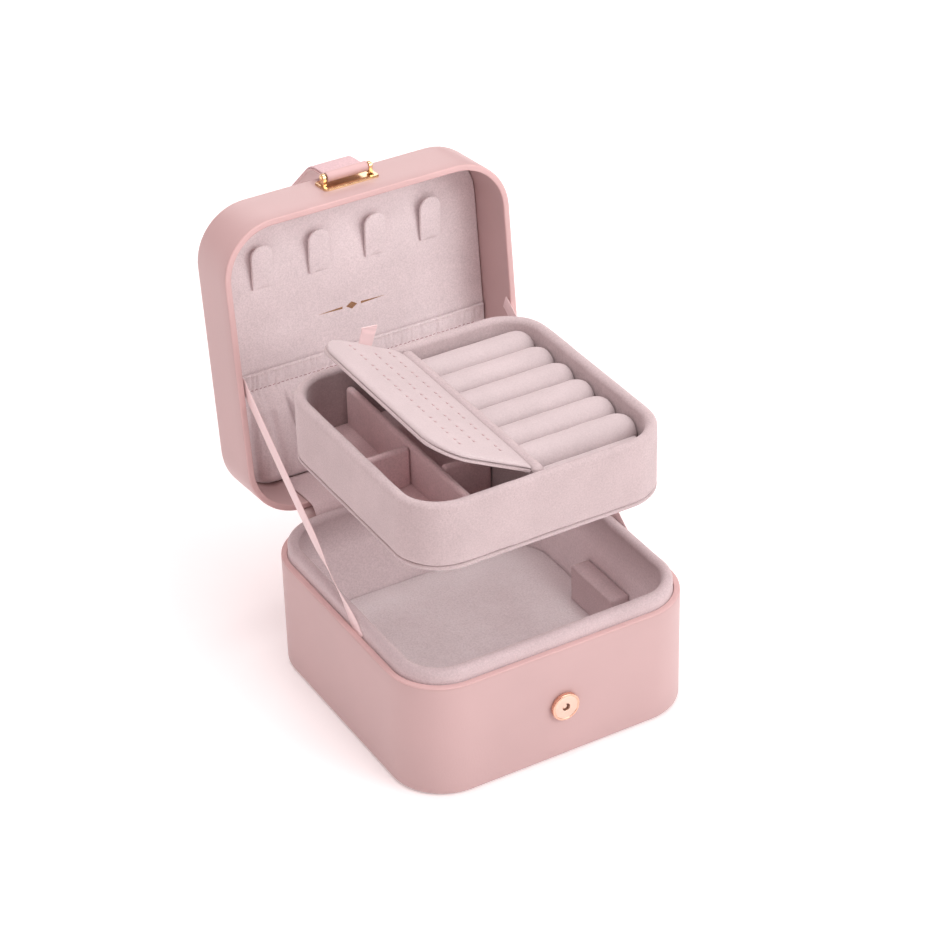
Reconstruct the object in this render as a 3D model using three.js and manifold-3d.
// A square leather jewellery case: a base box with a velvet liner, a hinged lid with a velvet panel,
// necklace hooks and a gathered pocket, and a lift-out tray with ring rolls and a padded earring flap.
// Millimetres, +Z up, origin at the middle of the underside, front towards -Y. The case stands open:
// the lid is swung back on its hinge, the tray is lifted clear and its flap is raised.

import * as THREE from 'three';
import { mergeVertices } from 'three/addons/utils/BufferGeometryUtils.js';
import Module from 'manifold-3d';

// Case
const caseSide = 120;
const cornerRadius = 21.5;
const baseHeight = 48;
const lidHeight = 26;
const shellWall = 2.4;
const lidGap = 0.3;
const floorThickness = 3;
const rimRound = 0.4;
const baseBottomRound = 1.5;
const lidTopRound = 2.5;
const coverThickness = 0.7;
const coverInset = 4;
const coverRecess = 1;
const cornerSteps = 7;

// Base liner
const linerGap = 0.3;
const linerWall = 3.6;
const linerRise = 5.5;
const rimStepBack = 0.5;
const floorPadHeight = 8.7;
const blockLength = 29;
const blockTop = 27.8;
const blockDepth = 8;
const blockMiddle = -6.3;

// Lid hinge and its opening
const hingeBehind = 4;
const lidOpenAngle = THREE.MathUtils.degToRad(95.57);

// Lid fittings
const panelThickness = 1.4;
const hookWidth = 9;
const hookLength = 18;
const hookThickness = 1.2;
const hookSpacing = 24;
const hookTop = -42.5;
const hookCount = 4;
const pocketTop = 9.5;
const pocketThickness = 1.6;
const bandHeight = 5;
const bandThickness = 1;
const pocketWidth = 104;
const stripWidth = 74;
const stripThickness = 0.7;
const stripGap = 0.3;
const ribbonWidth = 6;
const ribbonThickness = 0.5;

// Clasp and strap
const plateWidth = 23;
const plateDepth = 10;
const plateThickness = 0.8;
const barHeight = 3.6;
const barRadius = 0.8;
const barAbove = 15;
const postWidth = 1.6;
const strapWidth = 17;
const strapLeather = 0.9;
const strapLining = 0.6;
const strapRootLength = 13;
const strapEndLength = 36;
const strapBend = THREE.MathUtils.degToRad(38);
const snapRadius = 5;
const snapThickness = 0.5;
const buttonHeight = 23;
const buttonRadius = 5.6;
const buttonThickness = 1.9;
const buttonFaceRadius = 4.3;
const buttonHole = 0.9;

// Tray
const traySide = 105.4;
const trayHeight = 27;
const trayRadius = 18.6;
const trayWall = 4.3;
const traySeat = 28;
const trayLift = 64;
const boardThickness = 1.8;
const trayPadThickness = 1.2;
const dividerThickness = 5;
const dividerMiddle = -1.5;
const dividerHeight = 25;
const partitionHeight = 19;
const partitionThickness = 3.2;
const partitionMiddle = -25.5;
const rightCrossing = -18;
const rollCount = 6;
const rollPitch = 14;
const rollTop = 23.4;
const ledgeHeight = 15;
const flapLength = 41;
const flapThickness = 1.4;
const flapTabHeight = 9;
const flapTabFromHinge = 17;
const flapAngle = THREE.MathUtils.degToRad(27);

const clear = 0.3;
const wasm = await Module();
wasm.setup();

const finishes = {
  leather: { color: 0xe4c1bd, roughness: 0.45, metalness: 0 },
  velvet: { color: 0xe2cbcd, roughness: 0.95, metalness: 0 },
  suede: { color: 0xd9c0c6, roughness: 0.95, metalness: 0 },
  ribbon: { color: 0xf0c8c8, roughness: 0.5, metalness: 0 },
  brass: { color: 0xd9a86c, roughness: 0.25, metalness: 1 },
  board: { color: 0xd8c4c4, roughness: 0.8, metalness: 0 },
};
const materials = Object.fromEntries(
  Object.entries(finishes).map(([name, finish]) => [name, new THREE.MeshStandardMaterial(finish)]),
);

function part(name, geometry, finish) {
  const mesh = new THREE.Mesh(geometry, materials[finish]);
  mesh.name = name;
  return mesh;
}

// Points of a rounded rectangle at one height, anticlockwise from above.
function roundedLoop(width, depth, radius, z, middle = [0, 0]) {
  const points = [];
  const corners = [[1, -1, -90], [1, 1, 0], [-1, 1, 90], [-1, -1, 180]];
  for (const [sx, sy, start] of corners) {
    for (let i = 0; i <= cornerSteps; i += 1) {
      const angle = THREE.MathUtils.degToRad(start + (90 * i) / cornerSteps);
      points.push([
        middle[0] + sx * (width / 2 - radius) + radius * Math.cos(angle),
        middle[1] + sy * (depth / 2 - radius) + radius * Math.sin(angle),
        z,
      ]);
    }
  }
  return points;
}

// A closed body through a list of loops: a tube that meets itself, or one with a flat cap on each end.
function loft(loops, ring) {
  const count = loops[0].length;
  const positions = loops.flat(2);
  const index = [];
  const last = ring ? loops.length : loops.length - 1;
  for (let row = 0; row < last; row += 1) {
    const above = (row + 1) % loops.length;
    for (let i = 0; i < count; i += 1) {
      const next = (i + 1) % count;
      const a = row * count + i;
      const b = row * count + next;
      const c = above * count + next;
      const d = above * count + i;
      index.push(a, b, c, a, c, d);
    }
  }
  if (!ring) {
    const top = (loops.length - 1) * count;
    for (let i = 1; i < count - 1; i += 1) {
      index.push(0, i + 1, i);
      index.push(top, top + i, top + i + 1);
    }
  }
  const geometry = new THREE.BufferGeometry();
  geometry.setAttribute('position', new THREE.Float32BufferAttribute(positions, 3));
  geometry.setIndex(index);
  return geometry;
}

// A rounded square body from a profile of [inset from its outside, height] pairs.
function turned(side, radius, profile, ring) {
  const loops = profile.map(([inset, z]) =>
    roundedLoop(side - 2 * inset, side - 2 * inset, Math.max(radius - inset, 0.5), z));
  return loft(loops, ring);
}

// Points of an arc in a profile, angles in degrees.
function arc(u, z, radius, from, to, steps) {
  return Array.from({ length: steps + 1 }, (_, i) => {
    const angle = THREE.MathUtils.degToRad(from + ((to - from) * i) / steps);
    return [u + radius * Math.cos(angle), z + radius * Math.sin(angle)];
  });
}

// A flat pad with softened top edges, standing on z.
function pad(width, depth, height, radius, z, middle, edge = 0.6) {
  const loops = [
    roundedLoop(width, depth, radius, z, middle),
    roundedLoop(width, depth, radius, z + height - edge, middle),
    roundedLoop(width - 2 * edge, depth - 2 * edge, Math.max(radius - edge, 0.3), z + height, middle),
  ];
  return loft(loops, false);
}

function box(width, depth, height, x, y, z) {
  return new THREE.BoxGeometry(width, depth, height).translate(x, y, z);
}

function toManifold(geometry) {
  const bare = geometry.clone();
  bare.deleteAttribute('normal');
  bare.deleteAttribute('uv');
  const merged = mergeVertices(bare, 1e-4);
  return new wasm.Manifold(new wasm.Mesh({
    numProp: 3,
    vertProperties: merged.attributes.position.array,
    triVerts: new Uint32Array(merged.index.array),
  }));
}

function fromManifold(solid) {
  const mesh = solid.getMesh();
  const geometry = new THREE.BufferGeometry();
  geometry.setAttribute('position', new THREE.BufferAttribute(mesh.vertProperties, 3));
  geometry.setIndex(new THREE.BufferAttribute(mesh.triVerts, 1));
  return geometry;
}

function joined(...geometries) {
  return fromManifold(geometries.map(toManifold).reduce((sum, solid) => sum.add(solid)));
}

function cutAway(geometry, ...tools) {
  const solids = tools.map(toManifold);
  return fromManifold(solids.reduce((rest, tool) => rest.subtract(tool), toManifold(geometry)));
}

// The part of a body that lies within a rounded square, inset from its outside.
function within(geometry, side, radius, inset) {
  const room = turned(side, radius, [[inset, -1], [inset, 2 * trayHeight]], false);
  return fromManifold(toManifold(geometry).intersect(toManifold(room)));
}

// An outline in the Y-Z plane, drawn as [y, z] pairs, extruded along X about the middle.
function alongX(outline, width, hole) {
  const shape = new THREE.Shape(outline.map(([y, z]) => new THREE.Vector2(y, z)));
  if (hole) {
    shape.holes.push(new THREE.Path(hole.map(([y, z]) => new THREE.Vector2(y, z))));
  }
  const geometry = new THREE.ExtrudeGeometry(shape, { depth: width, bevelEnabled: false });
  // shape axes (y, z) and the extrusion go to world (Y, Z) and X
  const turn = new THREE.Matrix4().makeBasis(
    new THREE.Vector3(0, 1, 0), new THREE.Vector3(0, 0, 1), new THREE.Vector3(1, 0, 0));
  return geometry.applyMatrix4(turn).translate(-width / 2, 0, 0);
}

// The outline of a thin strip along a route of [y, z] points.
function stripOutline(route, thickness) {
  const side = (sign) => route.map(([y, z], i) => {
    const before = route[Math.max(i - 1, 0)];
    const after = route[Math.min(i + 1, route.length - 1)];
    const along = new THREE.Vector2(after[0] - before[0], after[1] - before[1]).normalize();
    return [y - sign * along.y * thickness / 2, z + sign * along.x * thickness / 2];
  });
  return [...side(1), ...side(-1).reverse()];
}

function baseShell() {
  const profile = [
    [coverInset, coverRecess],
    [coverInset, 0],
    ...arc(baseBottomRound, baseBottomRound, baseBottomRound, -90, -180, 3),
    [0, baseHeight - rimRound],
    [rimRound, baseHeight],
    [shellWall - rimRound, baseHeight],
    [shellWall, baseHeight - rimRound],
    [shellWall, floorThickness],
  ];
  return turned(caseSide, cornerRadius, profile, false);
}

function baseCover() {
  const profile = [[coverInset + clear, 0], [coverInset + clear, coverThickness]];
  return turned(caseSide, cornerRadius, profile, false);
}

const linerOut = shellWall + linerGap;
const linerIn = linerOut + linerWall;
const linerTop = baseHeight + linerRise;
const insideHalf = caseSide / 2 - linerIn;

function baseLiner() {
  const bottom = floorThickness + clear;
  const crown = (linerWall - rimStepBack) / 2;
  const profile = [
    [linerIn, bottom],
    [linerOut, bottom],
    [linerOut, baseHeight - 1],
    [linerOut + rimStepBack, baseHeight],
    ...arc(linerOut + rimStepBack + crown, linerTop - crown, crown, 180, 0, 6),
  ];
  return turned(caseSide, cornerRadius, profile, true);
}

function baseFloorPad() {
  const side = 2 * (insideHalf - clear);
  return pad(side, side, floorPadHeight, cornerRadius - linerIn, floorThickness + clear, [0, 0]);
}

function supportBlock(sign) {
  const foot = floorThickness + clear + floorPadHeight + clear;
  const x = sign * (insideHalf - clear - blockDepth / 2);
  return pad(blockDepth, blockLength, blockTop - foot, 1.5, foot, [x, blockMiddle], 1);
}

// A disc-like body turned about the Y axis, facing the front, from a [radius, distance forward] profile.
function frontDisc(profile, x, y, z) {
  const points = profile.map(([radius, forward]) => new THREE.Vector2(radius, forward));
  return new THREE.LatheGeometry(points, 24).rotateX(Math.PI).translate(x, y, z);
}

function buttonRing() {
  const outer = buttonRadius;
  const inner = buttonFaceRadius + 0.2;
  const profile = [
    [inner, 0], [outer, 0], [outer, buttonThickness - 0.6], [outer - 0.6, buttonThickness],
    [inner + 0.2, buttonThickness], [inner, buttonThickness - 0.3], [inner, 0],
  ];
  return frontDisc(profile, 0, -caseSide / 2 - 0.05, buttonHeight);
}

function buttonFace() {
  const hole = buttonHole;
  const outer = buttonFaceRadius;
  const profile = [
    [hole, 0.1], [outer, 0.1], [outer, buttonThickness - 0.4], [hole + 0.4, buttonThickness - 0.3],
    [hole, buttonThickness - 0.8], [hole, 0.1],
  ];
  return frontDisc(profile, 0, -caseSide / 2 - 0.05, buttonHeight);
}

// Lid parts are drawn on the closed case and swung open with their group.
const lidBottom = baseHeight + lidGap;
const lidTop = baseHeight + lidHeight;
const panelTop = lidTop - shellWall - clear;
const panelFace = panelTop - panelThickness;

function lidShell() {
  const edge = lidTopRound;
  const depth = lidTop - lidBottom;
  const profile = [
    [edge, 0],
    ...arc(edge, edge, edge, -90, -180, 4).slice(1),
    [0, depth - rimRound],
    [rimRound, depth],
    [shellWall - rimRound, depth],
    [shellWall, depth - rimRound],
    [shellWall, shellWall],
  ];
  return turned(caseSide, cornerRadius, profile, false).rotateX(Math.PI).translate(0, 0, lidTop);
}

function lidPanel() {
  const inset = shellWall + clear;
  const side = caseSide - 2 * inset;
  return pad(side, side, panelThickness, cornerRadius - inset, 0, [0, 0])
    .rotateX(Math.PI)
    .translate(0, 0, panelTop);
}

function hookTab(x) {
  const tab = new THREE.Shape();
  const half = hookWidth / 2;
  tab.moveTo(-half, 0);
  tab.lineTo(half, 0);
  tab.lineTo(half, hookLength - half);
  tab.absarc(0, hookLength - half, half, 0, Math.PI, false);
  tab.lineTo(-half, 0);
  const options = { depth: hookThickness, bevelEnabled: false, curveSegments: 10 };
  const leaf = new THREE.ExtrudeGeometry(tab, options);
  const foot = box(hookWidth, 4, 1.4, 0, 2, hookThickness + 0.5);
  const whole = joined(leaf, foot);
  // the root is towards the hinge and the round end towards the front edge
  return whole.rotateZ(Math.PI).translate(x, hookTop + hookLength, panelFace - clear - hookThickness - 1.2);
}

function lidPocket() {
  const inset = shellWall + 1;
  const depth = caseSide / 2 - inset - pocketTop;
  const slab = pad(pocketWidth, depth, pocketThickness, 2, 0, [0, -pocketTop - depth / 2], 1);
  return within(slab, caseSide, cornerRadius, inset)
    .rotateX(Math.PI)
    .translate(0, 0, panelFace - clear);
}

function pocketBand() {
  const z = panelFace - clear - pocketThickness - 0.15 - bandThickness / 2;
  return box(pocketWidth - 4, bandHeight, bandThickness, 0, pocketTop + 1 + bandHeight / 2, z);
}

const barZ = baseHeight + barAbove;
const front = -caseSide / 2;

function claspPlate() {
  const frame = pad(plateWidth, plateDepth, plateThickness, 1.5, 0, [0, 0], 0.3);
  const recess = box(plateWidth - 4, plateDepth - 3.4, 1, 0, 0, plateThickness);
  return cutAway(frame, recess).rotateX(Math.PI / 2).translate(0, front - 0.05, barZ);
}

function claspPost(sign) {
  const x = sign * (strapWidth / 2 + 0.4 + postWidth / 2);
  const from = front - 0.05 - plateThickness - 0.05;
  const reach = barHeight + barRadius + 0.4 - plateThickness - 0.1;
  const post = box(postWidth, reach, 3, x, from - reach / 2, barZ);
  const eye = new THREE.CylinderGeometry(barRadius + 0.15, barRadius + 0.15, postWidth * 2, 16)
    .rotateZ(Math.PI / 2)
    .translate(x, front - barHeight, barZ);
  return cutAway(post, eye);
}

function claspBar() {
  return new THREE.CylinderGeometry(barRadius, barRadius, strapWidth + 0.8 + 2 * postWidth, 16)
    .rotateZ(Math.PI / 2)
    .translate(0, front - barHeight, barZ);
}

// Strap parts lie along +Y from the bar, with the lining on the +Z side.
function strapRoot() {
  const wrap = barRadius + 0.3;
  const outer = wrap + strapLeather;
  const turn = arc(0, 0, outer, 35, 325, 14);
  const tongueFrom = 2.4;
  const outline = [
    ...turn,
    [tongueFrom, -strapLeather], [strapRootLength, -strapLeather],
    [strapRootLength, 0], [tongueFrom, 0],
  ];
  const hole = arc(0, 0, wrap, 0, 345, 23).reverse();
  return alongX(outline, strapWidth, hole);
}

function strapRootLining() {
  const from = 2.9;
  const length = strapRootLength - from;
  return box(strapWidth, length, strapLining, 0, from + length / 2, 0.1 + strapLining / 2);
}

const bendAt = strapRootLength + 0.15;

function tongue(from, z, thickness, shrink) {
  const half = strapWidth / 2 - shrink;
  const shape = new THREE.Shape();
  shape.moveTo(-half, from);
  shape.lineTo(half, from);
  shape.lineTo(half, from + strapEndLength - half);
  shape.absarc(0, from + strapEndLength - half, half, 0, Math.PI, false);
  shape.lineTo(-half, from);
  const options = { depth: thickness, bevelEnabled: false, curveSegments: 14 };
  return new THREE.ExtrudeGeometry(shape, options).translate(0, 0, z);
}

function strapSnap() {
  const along = barZ - buttonHeight;
  const disc = new THREE.CylinderGeometry(snapRadius, snapRadius, snapThickness, 24);
  return disc.rotateX(Math.PI / 2).translate(0, along, 0.2 + strapLining + snapThickness / 2);
}

// Swings a point of the closed lid to the open lid.
function swung([x, y, z]) {
  const hinge = caseSide / 2 + hingeBehind;
  const c = Math.cos(lidOpenAngle);
  const s = Math.sin(lidOpenAngle);
  const back = y - hinge;
  const up = z - baseHeight;
  return [x, hinge + back * c + up * s, baseHeight - back * s + up * c];
}

function hingeStripOuter() {
  const start = caseSide / 2 + stripGap + stripThickness / 2;
  const lidBack = (z) => swung([0, start, z]).slice(1);
  const route = [
    [start, baseHeight - 12],
    [start, baseHeight - 3],
    [start + 0.5, baseHeight - 0.5],
    [start + 2, baseHeight + 2],
    lidBack(lidBottom + 1.5),
    lidBack(lidBottom + 12),
  ];
  return alongX(stripOutline(route, stripThickness).reverse(), stripWidth);
}

function hingeStripInner() {
  const lidBack = (z) => swung([0, caseSide / 2 - shellWall - stripGap - stripThickness / 2, z]).slice(1);
  const route = [
    [caseSide / 2 - 1.2, baseHeight + 0.3],
    [caseSide / 2 - 1, baseHeight + 3.4],
    [caseSide / 2 + 1.6, baseHeight + 6.4],
    lidBack(lidBottom + 1),
    lidBack(lidBottom + 15),
  ];
  return alongX(stripOutline(route, stripThickness).reverse(), stripWidth);
}

function stayRibbon(sign) {
  const foot = new THREE.Vector3(sign * (caseSide / 2 - 1.2), -10, baseHeight + 3);
  const head = new THREE.Vector3(...swung([sign * (caseSide / 2 - shellWall - 0.8), 2, lidBottom + 1.6]));
  const along = head.clone().sub(foot);
  const length = along.length();
  along.normalize();
  const across = new THREE.Vector3(1, 0, 0).cross(along).normalize();
  const flat = new THREE.Vector3().crossVectors(across, along).normalize();
  const ribbon = new THREE.BoxGeometry(ribbonThickness, ribbonWidth, length);
  const frame = new THREE.Matrix4().makeBasis(flat.negate(), across.negate(), along);
  if (frame.determinant() < 0) {
    frame.makeBasis(flat.negate(), across, along);
  }
  const middle = foot.clone().add(head).multiplyScalar(0.5);
  return ribbon.applyMatrix4(frame).translate(middle.x, middle.y, middle.z);
}

// Tray parts are drawn from the tray's own underside.
const trayInside = traySide / 2 - trayWall;
const trayFloor = boardThickness + clear + trayPadThickness;

function trayWalls() {
  const crown = trayWall / 2;
  const profile = [
    [trayWall, boardThickness + 0.2],
    [0.4, boardThickness + 0.2],
    [0, boardThickness + 0.6],
    ...arc(crown, trayHeight - crown, crown, 180, 0, 6),
  ];
  return turned(traySide, trayRadius, profile, true);
}

function trayBoard() {
  const profile = [[0.8, 0], [0, 0.6], [0, boardThickness]];
  return turned(traySide, trayRadius, profile, false);
}

function trayFloorPad() {
  const side = 2 * (trayInside - clear);
  const z = boardThickness + 0.2;
  return pad(side, side, trayPadThickness, trayRadius - trayWall, z, [0, 0], 0.3);
}

function wall(thickness, length, height, x, y) {
  const z = trayFloor + 0.1;
  return pad(thickness, length, height - z, Math.min(thickness, length) / 2 - 0.3, z, [x, y], 0.9);
}

function mainDivider() {
  return wall(dividerThickness, 2 * (trayInside - clear), dividerHeight, dividerMiddle, 0);
}

function longPartition() {
  return wall(partitionThickness, 2 * (trayInside - clear), partitionHeight, partitionMiddle, 0);
}

// Cells beside the long partition, each crossed by a low wall.
const leftCell = (-trayInside + partitionMiddle - partitionThickness / 2) / 2;
const leftCellWidth = trayInside + partitionMiddle - partitionThickness / 2;
const rightCellWidth = dividerMiddle - dividerThickness / 2 - partitionMiddle - partitionThickness / 2;
const rightCell = partitionMiddle + partitionThickness / 2 + rightCellWidth / 2;

function crossPartition(cellWidth, cellMiddle, y) {
  return wall(cellWidth - 2 * clear, partitionThickness, partitionHeight, cellMiddle, y);
}

function ringRoll(i) {
  const radius = rollPitch / 2 - 0.2;
  const from = dividerMiddle + dividerThickness / 2 + clear;
  const length = trayInside - clear - from;
  const middle = trayInside - clear - rollPitch / 2 - i * rollPitch;
  const crest = arc(0, rollTop - radius, radius, 0, 180, 12);
  const outline = [...crest, [-radius, trayFloor + 0.1], [radius, trayFloor + 0.1]];
  const roll = alongX(outline, length).translate(from + length / 2, middle, 0);
  return within(roll, traySide, trayRadius, trayWall + clear);
}

function ringLedge() {
  const back = trayInside - clear - rollCount * rollPitch;
  const depth = back + trayInside - clear;
  const from = dividerMiddle + dividerThickness / 2 + clear;
  const width = trayInside - clear - from;
  const middle = [from + width / 2, back - depth / 2];
  const slab = pad(width, depth - clear, ledgeHeight, 0.6, trayFloor + 0.1, middle, 0.8);
  return within(slab, traySide, trayRadius, trayWall + clear);
}

// Flap parts lie from the flap's hinge line towards -X, with the hinge line at the origin.
const flapHingeX = dividerMiddle - dividerThickness / 2 - 0.3;
const flapHingeZ = trayHeight - 2.2;
const flapSideGap = 1.7;

function flapLayer(z, thickness, shrink) {
  const depth = 2 * (trayInside - flapSideGap - shrink);
  const radius = trayRadius - trayWall;
  const shape = new THREE.Shape();
  const far = -flapLength + shrink;
  const half = depth / 2;
  shape.moveTo(-0.6 - shrink, -half);
  shape.lineTo(-0.6 - shrink, half);
  shape.lineTo(far + radius, half);
  shape.absarc(far + radius, half - radius, radius, Math.PI / 2, Math.PI, false);
  shape.lineTo(far, -half + radius);
  shape.absarc(far + radius, -half + radius, radius, Math.PI, Math.PI * 1.5, false);
  shape.lineTo(-0.6 - shrink, -half);
  const options = { depth: thickness, bevelEnabled: false, curveSegments: 10 };
  return new THREE.ExtrudeGeometry(shape, options).translate(0, 0, z);
}

function flapRibbon() {
  const back = trayInside - flapSideGap + 0.3;
  const y = back + ribbonThickness / 2;
  return box(ribbonWidth, ribbonThickness, flapTabHeight, -flapTabFromHinge, y, 0.5 + flapTabHeight / 2);
}

function flapStrip() {
  const length = 2 * (trayInside - 6);
  return box(2.4, length, 0.4, dividerMiddle - 0.8, 0, dividerHeight + 0.3);
}

const base = new THREE.Group();
base.add(
  part('base_shell', baseShell(), 'leather'),
  part('base_bottom_cover', baseCover(), 'board'),
  part('base_liner', baseLiner(), 'velvet'),
  part('base_floor_pad', baseFloorPad(), 'velvet'),
  part('support_block_left', supportBlock(-1), 'velvet'),
  part('support_block_right', supportBlock(1), 'velvet'),
  part('clasp_button_ring', buttonRing(), 'brass'),
  part('clasp_button_face', buttonFace(), 'brass'),
  part('hinge_strip_outer', hingeStripOuter(), 'leather'),
  part('hinge_strip_inner', hingeStripInner(), 'velvet'),
  part('stay_ribbon_left', stayRibbon(-1), 'ribbon'),
  part('stay_ribbon_right', stayRibbon(1), 'ribbon'),
);

const strapEnd = new THREE.Group();
strapEnd.position.set(0, bendAt, -strapLeather);
strapEnd.rotation.x = -strapBend;
const strapEndParts = new THREE.Group();
strapEndParts.position.set(0, -bendAt, strapLeather);
strapEndParts.add(
  part('strap_end_leather', tongue(bendAt + 0.15, -strapLeather, strapLeather, 0), 'leather'),
  part('strap_end_lining', tongue(bendAt + 0.15, 0.1, strapLining, 0.5), 'suede'),
  part('strap_snap', strapSnap(), 'brass'),
);
strapEnd.add(strapEndParts);

// the strap is thrown back over the lid: along +Z of the closed lid, lining outwards
const strap = new THREE.Group();
strap.position.set(0, front - barHeight, barZ);
strap.rotation.x = Math.PI / 2;
strap.add(
  part('strap_root_leather', strapRoot(), 'leather'),
  part('strap_root_lining', strapRootLining(), 'suede'),
  strapEnd,
);

const lidParts = new THREE.Group();
lidParts.position.set(0, -(caseSide / 2 + hingeBehind), -baseHeight);
lidParts.add(
  part('lid_shell', lidShell(), 'leather'),
  part('lid_panel', lidPanel(), 'velvet'),
  part('lid_pocket', lidPocket(), 'velvet'),
  part('pocket_elastic_band', pocketBand(), 'velvet'),
  part('clasp_plate', claspPlate(), 'brass'),
  part('clasp_post_left', claspPost(-1), 'brass'),
  part('clasp_post_right', claspPost(1), 'brass'),
  part('clasp_bar', claspBar(), 'brass'),
  strap,
);
for (let i = 0; i < hookCount; i += 1) {
  const x = (i - (hookCount - 1) / 2) * hookSpacing;
  lidParts.add(part(`necklace_hook_${i + 1}`, hookTab(x), 'velvet'));
}
const lid = new THREE.Group();
lid.position.set(0, caseSide / 2 + hingeBehind, baseHeight);
lid.rotation.x = -lidOpenAngle;
lid.add(lidParts);

const flap = new THREE.Group();
flap.position.set(flapHingeX, 0, flapHingeZ);
flap.rotation.y = flapAngle;
flap.add(
  part('flap_board', flapLayer(0, flapThickness, 0), 'velvet'),
  part('flap_pad', flapLayer(flapThickness + 0.1, flapThickness, 0.5), 'velvet'),
  part('flap_ribbon', flapRibbon(), 'ribbon'),
);

const tray = new THREE.Group();
tray.position.z = traySeat + trayLift;
tray.add(
  part('tray_walls', trayWalls(), 'velvet'),
  part('tray_bottom_board', trayBoard(), 'velvet'),
  part('tray_floor_pad', trayFloorPad(), 'velvet'),
  part('tray_main_divider', mainDivider(), 'velvet'),
  part('tray_long_partition', longPartition(), 'velvet'),
  part('tray_cross_partition_left', crossPartition(leftCellWidth, leftCell, 0), 'velvet'),
  part('tray_cross_partition_right', crossPartition(rightCellWidth, rightCell, rightCrossing), 'velvet'),
  part('ring_front_ledge', ringLedge(), 'velvet'),
  part('flap_hinge_strip', flapStrip(), 'velvet'),
  flap,
);
for (let i = 0; i < rollCount; i += 1) {
  tray.add(part(`ring_roll_${i + 1}`, ringRoll(i), 'velvet'));
}

const jewelleryCase = new THREE.Group();
jewelleryCase.add(base, lid, tray);

export default jewelleryCase;
